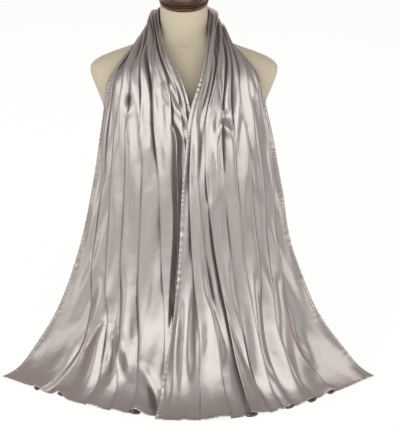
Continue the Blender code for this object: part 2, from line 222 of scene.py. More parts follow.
# One row for each ring of the dress form: height, half its width, how far it reaches to the
# front and to the back, and how much it falls towards the front, on a level ring not at all
FORM_RINGS = (
    Ring(8.3, 157, 104, 108),
    Ring(50, 164, 107, 115),
    Ring(115, 167, 109, 118),
    Ring(185, 153, 104, 107),
    Ring(245, 130, 97, 90),
    Ring(295, 119, 93, 81),
    Ring(345, 124, 97, 84),
    Ring(400, 137, 107, 91),
    Ring(440, 145, 114, 96),
    Ring(475, 149, 115, 99),
    Ring(515, 152, 105, 101),
    Ring(555, 158, 92, 101),
    Ring(590, 171, 78, 97),
    Ring(617, 181, 64, 89),
    Ring(632, 181, 55, 80),
    Ring(646, 165, 46, 70),
    Ring(658, 136, 40, 62),
    Ring(670, 101, 37, 56, 0.02),
    Ring(683, 70, 38, 52, 0.05),
    Ring(698, 52, 41, 49, 0.10),
    Ring(725, 46, 44, 47, 0.18),
    Ring(757, 46, 46, 46, 0.246),
)
RING_SQUARENESS = 2.3  # 2 would be an ellipse
RING_POINTS = 112
RING_SPACING = 9.0
NECK_SEAM = 676.0  # height of the cover's seam at the neck's root
SEAM_DEEP = 0.7
SEAM_STEPS = (-3.0, -1.2, 0.0, 1.2, 3.0)

# The turned neck cap's outline, as radius and height above the neck's slanted top
CAP_OUTLINE = (
    (0.0, 52.0), (12.0, 51.0), (22.0, 47.5), (27.0, 43.0), (28.0, 38.0), (31.0, 36.0),
    (40.0, 33.0), (46.0, 27.0), (48.0, 20.0), (47.0, 13.0), (44.5, 10.0), (44.5, 8.0),
    (47.0, 6.5), (48.0, 4.0), (47.0, 1.2), (45.5, 0.0), (0.0, 0.0),
)
CAP_SEAT = 757.3
CAP_TILT = math.atan(0.246)
CAP_RINGS, CAP_STEPS = 76, 72

# One row for each light, in metres: its place, the point that it faces, its size, and its power as
# a share of the front one's. The low side lights are what the flare's two sides reflect
CHEST, FLARE = (0.0, -0.05, 0.35), (0.0, -0.05, 0.1)
SOFTBOXES = (
    Softbox("front softbox", (-0.2, -2.5, 1.3), CHEST, 4.4, 1.9, 1.0),
    Softbox("left softbox", (-2.8, -0.97, 0.58), FLARE, 1.6, 0.9, 0.14),
    Softbox("right softbox", (3.04, -0.4, 0.75), FLARE, 1.8, 1.2, 0.21),
    Softbox("back softbox", (-0.8, 2.8, 2.2), CHEST, 2.0, 1.2, 0.20),
)
LAMP_TINT = (0.945, 0.985, 0.985)
ROOM_TINT = (1.0, 0.935, 0.925, 1.0)
FLOOR_HALF = 9.0
CAMERA_TARGET = (0.0312, 0.0, 0.330)
SENSOR_WIDTH = 36.0


def linear(hex_colour):
    """An sRGB hex colour as the linear colour that the shaders take."""
    values = [int(hex_colour[i : i + 2], 16) / 255.0 for i in (1, 3, 5)]
    return tuple(v / 12.92 if v <= 0.04045 else ((v + 0.055) / 1.055) ** 2.4 for v in values)


class ScarfSettings(bpy.types.PropertyGroup):
    wall: FloatProperty(
        name="Cloth thickness", description="Thickness of the satin",
        default=0.0006, min=0.0002, max=0.002, precision=5, unit="LENGTH",
    )
    hem_width: FloatProperty(
        name="Hem width", description="Width of the turned and stitched hem",
        default=0.008, min=0.004, max=0.015, precision=4, unit="LENGTH",
    )
    pucker: FloatProperty(
        name="Hem pucker", description="How far the stitched edges ruffle",
        default=0.0013, min=0.0, max=0.004, precision=4, unit="LENGTH",
    )
    pucker_spacing: FloatProperty(
        name="Pucker spacing", description="Mean distance from one pucker to the next",
        default=0.012, min=0.006, max=0.04, precision=3, unit="LENGTH",
    )
    stitch_spacing: FloatProperty(
        name="Stitch spacing", description="Distance from one hem stitch to the next",
        default=0.003, min=0.002, max=0.01, precision=4, unit="LENGTH",
    )
    clearance: FloatProperty(
        name="Clearance", description="Least distance from the cloth's middle to the form",
        default=0.0016, min=0.0005, max=0.01, precision=4, unit="LENGTH",
    )
    crease_strength: FloatProperty(
        name="Crease strength", description="Scales every fine crease",
        default=1.0, min=0.0, max=2.0, subtype="FACTOR",
    )
    satin_colour: FloatVectorProperty(
        name="Satin colour", description="Colour of the satin in even light",
        default=linear("#97918D"), size=3, min=0.0, max=1.0, subtype="COLOR",
    )


class FormSettings(bpy.types.PropertyGroup):
    ring_points: IntProperty(
        name="Points round the form", description="How finely the dress form is drawn",
        default=RING_POINTS, min=36, max=240,
    )
    thread_spacing: FloatProperty(
        name="Thread spacing", description="Distance between the threads of the linen cover",
        default=0.0016, min=0.0003, max=0.005, precision=4, unit="LENGTH",
    )
    cover_colour: FloatVectorProperty(
        name="Cover colour", description="Colour of the linen cover",
        default=linear("#B1A590"), size=3, min=0.0, max=1.0, subtype="COLOR",
    )
    cap_colour: FloatVectorProperty(
        name="Cap colour", description="Colour of the stained wood of the neck cap",
        default=linear("#2F1A10"), size=3, min=0.0, max=1.0, subtype="COLOR",
    )
    board_colour: FloatVectorProperty(
        name="Board colour", description="Colour of the base board's wood",
        default=linear("#8A6A48"), size=3, min=0.0, max=1.0, subtype="COLOR",
    )


class StageSettings(bpy.types.PropertyGroup):
    camera_distance: FloatProperty(
        name="Camera distance", description="From the camera to the point that it looks at",
        default=8.0, min=1.0, max=30.0, unit="LENGTH",
    )
    camera_elevation: FloatProperty(
        name="Camera elevation", description="Angle of the camera above the horizon",
        default=math.radians(15.0), min=0.0, max=1.5, unit="ROTATION",
    )
    picture_height: FloatProperty(
        name="Picture height", description="What the picture's height takes in at the form",
        default=0.845, min=0.2, max=5.0, unit="LENGTH",
    )
    floor_colour: FloatVectorProperty(
        name="Floor colour", description="Colour of the floor",
        default=linear("#FAFAF9"), size=3, min=0.0, max=1.0, subtype="COLOR",
    )
    surround: FloatProperty(
        name="Surround", description="Strength of the even light from all round",
        default=0.57, min=0.0, max=5.0,
    )
    softbox_power: FloatProperty(
        name="Softbox power", description="Power of the large front light",
        default=80.0, min=0.0, max=2000.0, unit="POWER",
    )


def natural_spline(knots, values):
    """The cubic through these rows of values with no bend at either end, as a function."""
    knots = np.asarray(knots, float)
    values = np.asarray(values, float)
    gaps = np.diff(knots)
    slopes = np.diff(values, axis=0) / gaps[:, None]
    count = len(knots)
    system = np.eye(count)
    target = np.zeros_like(values)
    for i in range(1, count - 1):
        system[i, i - 1] = gaps[i - 1]
        system[i, i] = 2.0 * (gaps[i - 1] + gaps[i])
        system[i, i + 1] = gaps[i]
        target[i] = 6.0 * (slopes[i] - slopes[i - 1])
    bends = np.linalg.solve(system, target)

    def at(places):
        places = np.asarray(places, float)
        i = np.clip(np.searchsorted(knots, places) - 1, 0, count - 2)
        gap = gaps[i][..., None]
        before = (knots[i + 1] - places)[..., None] / gap
        after = 1.0 - before
        curve = (before**3 - before) * bends[i] + (after**3 - after) * bends[i + 1]
        return before * values[i] + after * values[i + 1] + curve * gap * gap / 6.0

    return at


def hermite(start, end, leave, arrive, s):
    """The way from start to end, as s goes from 0 to 1, with the given speeds at both."""
    return (
        start * (2 * s**3 - 3 * s**2 + 1)
        + leave * (s**3 - 2 * s**2 + s)
        + end * (3 * s**2 - 2 * s**3)
        + arrive * (s**3 - s**2)
    )


def easing(knots, values, places):
    """Values between table columns, with no overshoot past either neighbour."""
    knots = np.asarray(knots, float)
    values = np.asarray(values, float)
    gaps = np.diff(knots)
    rises = np.diff(values) / gaps
    slopes = np.zeros(len(values))
    for i in range(1, len(values) - 1):
        if rises[i - 1] * rises[i] > 0:
            slopes[i] = 2.0 / (1.0 / rises[i - 1] + 1.0 / rises[i])
    i = np.clip(np.searchsorted(knots, places) - 1, 0, len(gaps) - 1)
    s = (places - knots[i]) / gaps[i]
    return hermite(values[i], values[i + 1], slopes[i] * gaps[i], slopes[i + 1] * gaps[i], s)


def smooth_step(values):
    """Eases from 0 to 1 as the values go from 0 to 1."""
    values = np.clip(values, 0.0, 1.0)
    return values * values * (3.0 - 2.0 * values)


def rising(values, start, over):
    """Eases from 0 to 1 as the values go on from start."""
    return smooth_step((values - start) / over)


def fading(values, end, over):
    """Eases from 1 to 0 as the values come up to end."""
    return smooth_step((end - values) / over)


SECTION_AT = natural_spline(
    [row.run for row in SECTIONS],
    [(*row.outer, *row.inner, row.bulge) for row in SECTIONS],
)


def middle_surface(runs, shares):
    """Points of the unfolded scarf, a row for each place along it."""
    row = SECTION_AT(runs)[:, None, :]
    outer, inner, bulge = row[..., 0:3], row[..., 3:6], row[..., 6:7]
    shares = shares[..., None]
    forward = np.array((0.0, -1.0, 0.0))
    return outer + (inner - outer) * shares + forward * bulge * np.sin(math.pi * shares)


def outward(runs, shares):
    """Unit vectors that point out of the unfolded scarf, away from the dress form."""
    step_run, step_share = 1.0, 0.005
    along = middle_surface(runs + step_run, shares) - middle_surface(runs - step_run, shares)
    over = middle_surface(runs, shares + step_share) - middle_surface(runs, shares - step_share)
    normal = np.cross(over, along)
    return normal / np.linalg.norm(normal, axis=-1, keepdims=True)


def width_across(runs):
    row = SECTION_AT(runs)
    return np.linalg.norm(row[:, 3:6] - row[:, 0:3], axis=1)


def fold_knots(folds, station, width):
    """Places and heights of the edges, ridges and tucks, a row for each section."""
    knots = [(np.zeros_like(width), np.zeros_like(width))]
    for fold in folds:
        ridge_at = width * easing(FOLD_STATIONS, fold.across, station)
        high = easing(FOLD_STATIONS, fold.high, station)
        lap = easing(FOLD_STATIONS, fold.lap, station)
        side = 1.0 if fold.faces == "out" else -1.0
        ridge = (ridge_at, RIDGE_SHARE * high)
        tuck = (ridge_at + side * lap, (RIDGE_SHARE - 1.0) * high)
        knots += [tuck, ridge] if fold.faces == "out" else [ridge, tuck]
    knots.append((width, np.zeros_like(width)))
    return np.stack([k[0] for k in knots], axis=1), np.stack([k[1] for k in knots], axis=1)


def knots_along(runs):
    """The knots of every section, with the two ends' folds blended round the nape."""
    width = width_across(runs)
    station = np.clip((np.abs(runs) - NECK_RUN) / (SCARF_RUN - NECK_RUN), 0.0, 1.0)
    left = fold_knots(LEFT_FOLDS, station, width)
    right = fold_knots(RIGHT_FOLDS, station, width)
    mix = smooth_step(0.5 + 0.5 * runs / NECK_RUN)[:, None]
    places, heights = (a * (1.0 - mix) + b * mix for a, b in zip(left, right))
    return places, heights, width


def folded(runs, segment, s):
    """Share of the way across and height of the folded cloth, at places s along its segments."""
    places, heights, width = knots_along(runs)
    start, end = places[:, segment], places[:, segment + 1]
    low, high = heights[:, segment], heights[:, segment + 1]
    is_turn = segment % 2 == 1
    step = end - start
    reach = np.where(is_turn, np.maximum(TURN_ROUND * np.abs(high - low), step), step)
    shares = hermite(start, end, reach, reach, s) / width[:, None]
    return shares, hermite(low, high, 0.0, 0.0, s), width[:, None]


def crease_relief(creases, runs, shares, width):
    """How far the fine creases of one end move the cloth out."""
    relief = np.zeros_like(shares)
    along = np.abs(runs)[:, None] + 0.0 * shares
    for crease in creases:
        order = np.argsort(crease.runs if crease.lies == "along" else crease.shares)
        path_runs = np.asarray(crease.runs, float)[order]
        path_shares = np.asarray(crease.shares, float)[order]
        if crease.lies == "along":
            keys, path, place = path_runs, path_shares, along
        else:
            keys, path, place = path_shares, path_runs, shares
        t = np.clip((place - keys[0]) / (keys[-1] - keys[0]), 0.0, 1.0)
        centre = natural_spline(keys, path[:, None])(np.clip(place, keys[0], keys[-1]))[..., 0]
        offset = (shares - centre) * width if crease.lies == "along" else along - centre
        taper = np.sin(math.pi * t) ** 0.8
        relief += crease.high * taper * np.exp(-((offset / crease.wide) ** 2))
    return relief


def slack_relief(runs, shares):
    """Low uneven waves that any soft cloth has, the same at every run of the script."""
    waves, seed = 14, 11
    shortest_along, longest_along = 150.0, 420.0
    shortest_across, longest_across = 60.0, 160.0
    rng = np.random.default_rng(seed)
    along = np.abs(runs)[:, None]
    across = shares * CUT_WIDTH
    relief = np.zeros_like(shares)
    for _ in range(waves):
        wave_along = rng.uniform(shortest_along, longest_along)
        wave_across = rng.uniform(shortest_across, longest_across) * rng.choice((-1.0, 1.0))
        phase = rng.uniform(0.0, 2.0 * math.pi)
        relief += np.sin(2.0 * math.pi * (along / wave_along + across / wave_across) + phase)
    return SLACK_HIGH * relief


# In the next three reliefs, drift, size and warp are slow sines of odd lengths. They only make the
# gathers, swells and puckers uneven in place and in height


def gather_relief(runs, shares):
    """Narrow uneven gathers, round with thin valleys, that fan out of the neck and fade away."""
    away = np.abs(runs)[:, None]
    reach = np.where(runs < 0, *GATHER_REACH)[:, None]
    full_until = 100.0
    fade = fading(away, end=reach, over=reach - full_until)
    # The nape's bunched cloth stands out more than what shows beside the neck, and all outwards
    crowd = fading(away, end=80.0, over=60.0)
    bunched = 0.85 + 1.5 * crowd
    level = 0.65 - 0.6 * crowd
    # The band beside the neckline hangs smooth once it leaves the neck
    smooth = rising(shares, start=0.72, over=0.08) * rising(away, start=150.0, over=60.0)
    drift = 0.05 * np.sin(7.3 * shares + 0.4) + 0.012 * np.sin(away / 61.0 + 9.0 * shares)
    at_nape, beside_neck, below_neck = (
        np.abs(np.sin(math.pi * count * (shares + drift))) for count in GATHER_COUNTS
    )
    nape = fading(away, end=90.0, over=40.0)
    below = rising(away, start=110.0, over=100.0)
    rounds = at_nape * nape + below_neck * below + beside_neck * (1.0 - nape - below)
    size = 1.0 + 0.35 * np.sin(5.1 * math.pi * shares + 1.0)
    return GATHER_HIGH * fade * bunched * (1.0 - smooth) * size * (rounds - level)


def flare_relief(runs, shares):
    """Rolling swells that open between the pleats as the cloth spreads towards the hem."""
    away = np.abs(runs)[:, None]
    # They grow from the waist down and mostly flatten again where the cloth comes to lie
    lying = rising(away, start=800.0, over=90.0)
    rise = rising(away, start=560.0, over=240.0) * (1.0 - 0.7 * lying)
    drift = 0.04 * np.sin(away / 90.0 + 4.0 * shares) + 0.05 * np.sin(11.0 * shares + 2.0)
    size = 1.0 + 0.45 * np.sin(8.3 * shares + away / 160.0)
    return FLARE_HIGH * rise * size * np.sin(2.0 * math.pi * FLARE_SWELLS * (shares + drift))


def pucker_relief(distance, place, spacing, high):
    """Uneven ruffles along a stitched edge, which die away inside it."""
    warp = 3.4 * np.sin(place / 37.0) + 3.0 * np.sin(place / 17.0 + 2.0)
    size = 0.15 + 0.85 * np.sin(place / 29.0 + 1.0) ** 2 * (0.6 + 0.4 * np.sin(place / 7.3))
    wave = np.sin(2.0 * math.pi * place / spacing + warp)
    return high * size * wave * np.exp(-((distance / PUCKER_DEPTH) ** 2))


def curl_lift(curls, runs, shares, width):
    """How far the hem rises, and how far it rolls back, at its curls."""
    near = np.clip((np.abs(runs)[:, None] - (SCARF_RUN - HEM_REACH)) / HEM_REACH, 0.0, 1.0)
    up = np.zeros_like(shares)
    back = np.zeros_like(shares)
    for curl in curls:
        bell = np.exp(-(((shares - curl.share) * width / curl.wide) ** 2))
        up += curl.high * bell * np.sin(0.5 * math.pi * near) ** 2
        back += curl.back * bell * near**4
    return up, back


def form_profile():
    return natural_spline(
        [ring.height for ring in FORM_RINGS],
        [(ring.half_width, ring.front, ring.back, ring.slant) for ring in FORM_RINGS],
    )


def form_ring(height, row, count):
    """Points round one ring of the form, squarer than an ellipse."""
    half_width, front, back, slant = row
    turn_by = np.arange(count) * 2.0 * math.pi / count
    power = 2.0 / RING_SQUARENESS
    x = half_width * np.sign(np.cos(turn_by)) * np.abs(np.cos(turn_by)) ** power
    y = np.sign(np.sin(turn_by)) * np.abs(np.sin(turn_by)) ** power
    y = y * np.where(y < 0, front, back)
    return np.stack([x, y, height + slant * y], axis=1)


def form_bmesh(count):
    """The torso and neck as one smooth closed body, with a shallow seam round the neck's root."""
    lowest, highest = FORM_RINGS[0].height, FORM_RINGS[-1].height
    heights = set(np.round(np.arange(lowest, highest, RING_SPACING), 1))
    heights |= {ring.height for ring in FORM_RINGS}
    beside_seam = 4.0
    heights = {h for h in heights if abs(h - NECK_SEAM) > beside_seam}
    heights |= {NECK_SEAM + step for step in SEAM_STEPS}
    profile = form_profile()
    bm = bmesh.new()
    loops = []
    for height in sorted(heights):
        row = profile(height)
        if height == NECK_SEAM:
            row = row - np.array((SEAM_DEEP, SEAM_DEEP, SEAM_DEEP, 0.0))
        verts = bmesh.ops.create_circle(bm, segments=count, radius=1.0)["verts"]
        for vertex, point in zip(verts, form_ring(height, row, count)):
            vertex.co = point * MM
        loops.append(list({edge for vertex in verts for edge in vertex.link_edges}))
    for lower, upper in zip(loops, loops[1:]):
        bmesh.ops.bridge_loops(bm, edges=lower + upper)
    bmesh.ops.contextual_create(bm, geom=loops[0])
    bmesh.ops.contextual_create(bm, geom=loops[-1])
    bmesh.ops.recalc_face_normals(bm, faces=bm.faces)
    return bm


@cache
def form_surface():
    """The dress form's surface, to measure from."""
    bm = form_bmesh(RING_POINTS)
    surface = BVHTree.FromBMesh(bm)
    bm.free()
    return surface


def keep_off_form(points, clearance):
    """Moves points that lie in the dress form, or too near it, out to the clearance."""
    # The cloth comes near the form only above the waist and within its shoulders
    waist, shoulders, furthest = 430.0, 190.0, 0.03
    shape = points.shape
    points = points.reshape(-1, 3)
    near = (points[:, 2] > waist) & (np.abs(points[:, 0]) < shoulders)
    for i in np.flatnonzero(near):
        spot = Vector(points[i] * MM)
        found, normal = form_surface().find_nearest(spot, furthest)[:2]
        if found is not None and (spot - found).dot(normal) < clearance:
            points[i] = np.array(found + normal * clearance) / MM
    return points.reshape(shape)


def cloth_points(side, runs, segment, s, settings):
    """Points of one half's finished cloth, with its fold, crease and hem form. s is 0 to 1."""
    shares, height, width = folded(runs, segment, s)
    creases, curls = (LEFT_CREASES, LEFT_CURLS) if side < 0 else (RIGHT_CREASES, RIGHT_CURLS)
    spacing, pucker = settings.pucker_spacing / MM, settings.pucker / MM
    fine = crease_relief(creases, runs, shares, width) + slack_relief(runs, shares)
    fine += gather_relief(runs, shares) + flare_relief(runs, shares)
    # Round the neck the weight of both ends pulls the inner edge nearly straight. It loosens in two
    # steps, above the foot of the V and below it
    away = np.abs(runs)[:, None]
    inner = 0.15 + 0.3 * rising(away, start=255.0, over=60.0)
    inner += 0.45 * rising(away, start=350.0, over=60.0)
    outer, hem_wider = 0.8, 1.3
    for distance, loose in ((shares * width, outer), ((1.0 - shares) * width, inner)):
        fine += pucker_relief(distance, runs[:, None] + 0.0 * shares, spacing, loose * pucker)
    fine += pucker_relief(SCARF_RUN - away, shares * CUT_WIDTH, hem_wider * spacing, pucker)
    facing = outward(runs, shares)
    points = middle_surface(runs, shares)
    points += facing * (height + settings.crease_strength * fine)[..., None]
    up, back = curl_lift(curls, runs, shares, width)
    points[..., 2] += up
    points[..., 1] += back
    points = keep_off_form(points, settings.clearance)
    points[..., 2] = np.maximum(points[..., 2], FLOOR_GAP)
    return points


def new_object(name, data):
    obj = bpy.data.objects.new(name, data)
    bpy.context.scene.collection.objects.link(obj)
    return obj


def new_piece(name, bm):
    """A smoothly shaded object made of the bmesh, which is freed."""
    mesh = bpy.data.meshes.new(name)
    bm.to_mesh(mesh)
    bm.free()
    mesh.shade_smooth()
    return new_object(name, mesh)


def add_wall(piece, thickness, offset):
    """Gives a sheet its thickness, about its middle or to one side."""
    wall = piece.modifiers.new("wall", "SOLIDIFY")
    wall.thickness = thickness
    wall.offset = offset


def sheet_through(name, points):
    """A sheet of faces through rows of points, facing as its rows and columns turn."""
    along, across = points.shape[:2]
    bm = bmesh.new()
    bmesh.ops.create_grid(bm, x_segments=across - 1, y_segments=along - 1, size=1.0)
    sheet = new_piece(name, bm)
    # create_grid lists its vertices row by row, which is the order of the points
    sheet.data.vertices.foreach_set("co", (points * MM).astype(np.float32).ravel())
    return sheet


def add_cloth_map(mesh, across, along):
    """A UV map in metres of the flat cloth: across it, and along it from the nape."""
    layer = mesh.uv_layers.new(name="cloth")
    corner = np.empty(len(mesh.loops), np.int32)
    mesh.loops.foreach_get("vertex_index", corner)
    flat = np.stack([across.ravel(), along.ravel()], axis=1) * MM
    layer.data.foreach_set("uv", flat[corner].astype(np.float32).ravel())


def column_places():
    """The cloth's columns as a segment and a place along it, closest in the turns."""
    segment, s = [], []
    for i in range(LAST_SEGMENT + 1):
        steps = TURN_STEPS if i % 2 else PANEL_STEPS
        places = np.arange(steps) / steps
        if i == 0:
            places = (np.arange(EDGE_STEPS) / EDGE_STEPS) ** EDGE_CROWDING
        if i == LAST_SEGMENT:
            places = 1.0 - (np.arange(EDGE_STEPS, 0, -1) / EDGE_STEPS) ** EDGE_CROWDING
        segment += [i] * len(places)
        s += list(places)
    return np.array(segment + [LAST_SEGMENT]), np.array(s + [1.0])


def row_places(side):
    """Places along one half, closest over the hem's last stretch."""
    long_part = np.linspace(0.0, SCARF_RUN - HEM_STRETCH, LONG_ROWS)
    hem_part = np.linspace(SCARF_RUN - HEM_STRETCH, SCARF_RUN, HEM_ROWS)[1:]
    runs = np.concatenate([long_part, hem_part])
    return -runs[::-1] if side < 0 else runs


def drawn_finer(places, count):
    """The same course of places, read at this many even steps."""
    return np.interp(np.linspace(0, 1, count), np.linspace(0, 1, len(places)), places)


def flat_across(points):
    """Each point's place across the flat cloth, from how far the folded row runs."""
    steps = np.linalg.norm(np.diff(points, axis=1), axis=2)
    reach = np.concatenate([np.zeros((len(points), 1)), np.cumsum(steps, axis=1)], axis=1)
    return CUT_WIDTH * reach / reach[:, -1:]


def cloth_half(name, side, settings):
    """One half of the scarf as a thin sheet, from the middle of the nape to its hem."""
    segment, s = column_places()
    runs = row_places(side)
    points = cloth_points(side, runs, segment, s[None, :], settings)
    cloth = sheet_through(name, points)
    add_cloth_map(cloth.data, flat_across(points), np.repeat(runs[:, None], len(s), axis=1))
    sharp = cloth.data.attributes.new("sharp_edge", "BOOLEAN", "EDGE")
    bm = bmesh.new()
    bm.from_mesh(cloth.data)
    sharp.data.foreach_set("value", [edge.is_boundary for edge in bm.edges])
    bm.free()
    add_wall(cloth, settings.wall, 0.0)
    return cloth


def strip_normals(strip):
    """Unit vectors that point out of a strip of points."""
    normal = np.cross(np.gradient(strip, axis=1), np.gradient(strip, axis=0))
    return normal / (np.linalg.norm(normal, axis=-1, keepdims=True) + 1e-9)


def band_shell(name, strips):
    """A flat closed tube over each strip of points, thick in its middle."""
    floor_gap = 0.15
    uv_across, uv_along = 0.001, 0.0013
    bm = bmesh.new()
    layer = bm.loops.layers.uv.new("cloth")
    for strip in strips:
        rise = strip_normals(strip) * (BAND_THICK * BAND_RISE)[None, :, None]
        loop = np.concatenate([strip + rise, (strip - rise)[:, ::-1]], axis=1)
        loop = np.concatenate([loop, loop[:, :1]], axis=1)
        loop[..., 2] = np.maximum(loop[..., 2], floor_gap)
        rows, columns = loop.shape[:2]
        part = bmesh.ops.create_grid(
            bm, x_segments=columns - 1, y_segments=rows - 1, size=1.0
        )["verts"]
        for i, (vertex, point) in enumerate(zip(part, loop.reshape(-1, 3))):
            vertex.co = point * MM
            for corner in vertex.link_loops:
                corner[layer].uv = (uv_across * (i % columns), uv_along * (i // columns))
    bmesh.ops.remove_doubles(bm, verts=bm.verts, dist=1e-6)
    bmesh.ops.holes_fill(bm, edges=[edge for edge in bm.edges if edge.is_boundary])
    bmesh.ops.recalc_face_normals(bm, faces=bm.faces)
    return new_piece(name, bm)


def hem_rolls(name, side, settings):
    """The hollow inside each curl of the hem, as a short shell that narrows to its closed end."""
    deep_by, wide_by, high_by, sides = 3.2, 0.75, 0.42, 28
    beside, behind, above = 0.02, 1.5, 0.3
    bm = bmesh.new()
    bm.loops.layers.uv.new("cloth")
    up = Vector((0.0, 0.0, 1.0))
    run = np.array([side * SCARF_RUN])
    segment, s = column_places()
    hem = cloth_points(side, run, segment, s[None, :], settings)[0]
    hem_shares = folded(run, segment, s[None, :])[0][0]
    for curl in LEFT_CURLS if side < 0 else RIGHT_CURLS:
        close = hem[np.abs(hem_shares - curl.share) < beside]
        crest = Vector(close[np.argmax(close[:, 2])])
        level = Vector(outward(run, np.array([[curl.share]]))[0, 0])
        level.z = 0.0
        back = -level.normalized()
        deep, wide, high = deep_by * curl.wide, wide_by * curl.wide, high_by * crest.z
        turned = Matrix((back.cross(up), up * (high / wide), back)).transposed().to_4x4()
        middle = crest + back * (0.5 * deep + behind)
        middle.z = high + above
        place = Matrix.Translation(middle * MM) @ turned
        bmesh.ops.create_cone(
            bm, cap_ends=False, segments=sides, radius1=wide * MM, radius2=0.0, depth=deep * MM,
            matrix=place, calc_uvs=True,
        )
    bmesh.ops.recalc_face_normals(bm, faces=bm.faces)
    rolls = new_piece(name, bm)
    add_wall(rolls, settings.wall, -1.0)
    return rolls


def edge_strips(side, settings):
    """Strips of points over both selvedges and the hem of one half, in millimetres."""
    hem = settings.hem_width / MM
    distance = hem * BAND_SHARES
    runs = drawn_finer(row_places(side), BAND_LONG_STEPS)
    # Round the neck the outermost panels are narrower than the hem, which takes what there is
    least = 1.15 * hem
    panels = np.diff(knots_along(runs)[0], axis=1)
    outer = distance[None, :] / np.maximum(panels[:, :1], least)
    inner = 1.0 - distance[None, :] / np.maximum(panels[:, -1:], least)
    ends = np.zeros(len(distance), int)
    first = cloth_points(side, runs, ends, outer, settings)
    last = cloth_points(side, runs, ends + LAST_SEGMENT, inner, settings)
    key = drawn_finer(np.add(*column_places()), BAND_HEM_STEPS)
    segment = np.minimum(key.astype(int), LAST_SEGMENT)
    bottom = side * (SCARF_RUN - distance)
    low = cloth_points(side, bottom, segment, (key - segment)[None, :], settings)
    return [first, last, np.swapaxes(low, 0, 1)]


def stitch_line(bm, path, normals, spacing):
    """Small stitches laid end to end along a path of points in metres."""
    long_by, half_wide, half_high, lift, still = 0.36, 0.00042, 0.00032, 0.0009, 1e-7
    steps = np.linalg.norm(np.diff(path, axis=0), axis=1)
    reach = np.concatenate([[0.0], np.cumsum(steps)])
    for place in np.arange(spacing, reach[-1] - spacing, spacing):
        i = int(np.searchsorted(reach, place))
        heading = Vector(path[i] - path[i - 1])
        if heading.length < still:
            continue
        turned = heading.to_track_quat("X", "Z").to_matrix().to_4x4()
        size = Matrix.Diagonal((long_by * spacing, half_wide, half_high, 1.0))
        where = Matrix.Translation(Vector(path[i]) + Vector(normals[i]) * lift)
        bmesh.ops.create_icosphere(bm, subdivisions=1, radius=1.0, matrix=where @ turned @ size)


def hem_stitches(name, strips, settings):
    """The hem's stitches on both faces, beside its inner edge."""
    floor_gap = 0.0001
    bm = bmesh.new()
    for strip in strips:
        path, normals = strip[:, STITCHED] * MM, strip_normals(strip)[:, STITCHED]
        for face in (1.0, -1.0):
            stitch_line(bm, path, face * normals, settings.stitch_spacing)
    for vertex in bm.verts:
        vertex.co.z = max(vertex.co.z, floor_gap)
    return new_piece(name, bm)


def set_up(tree, node, links=(), **settings):
    """Sets a node's properties and sockets by name, and joins (socket, source) links."""
    for key, value in settings.items():
        if hasattr(node, key):
            setattr(node, key, value)
        else:
            node.inputs[key.replace("_", " ")].default_value = value
    for socket, source in links:
        tree.links.new(source, node.inputs[socket])
    return node


def add_node(tree, kind, links=(), **settings):
    """Adds a node with its settings and links."""
    return set_up(tree, tree.nodes.new(kind), links, **settings)


def new_material(name):
    """A material with a bare Principled shader, its tree and the shader."""
    material = bpy.data.materials.new(name)
    material.use_nodes = True
    tree = material.node_tree
    return material, tree, tree.nodes["Principled BSDF"]


def toned(colour, *shares):
    """The colour with each channel at its share, or all three at the only one, and full alpha."""
    shares = 3 * shares if len(shares) == 1 else shares
    return (*[min(1.0, share * channel) for share, channel in zip(shares, colour)], 1.0)


def mottle(tree, shader, pattern, dark, light, dents=None, **finish):
    """Colours a shader from dark to light by a pattern, which dents it by (strength, depth)."""
    tone = add_node(
        tree, "ShaderNodeMix", [("Factor", pattern)], data_type="RGBA", A=dark, B=light
    )
    links = [("Base Color", tone.outputs["Result"])]
    if dents:
        bump = add_node(
            tree, "ShaderNodeBump", [("Height", pattern)], Strength=dents[0], Distance=dents[1]
        )
        links.append(("Normal", bump.outputs["Normal"]))
    set_up(tree, shader, links, **finish)


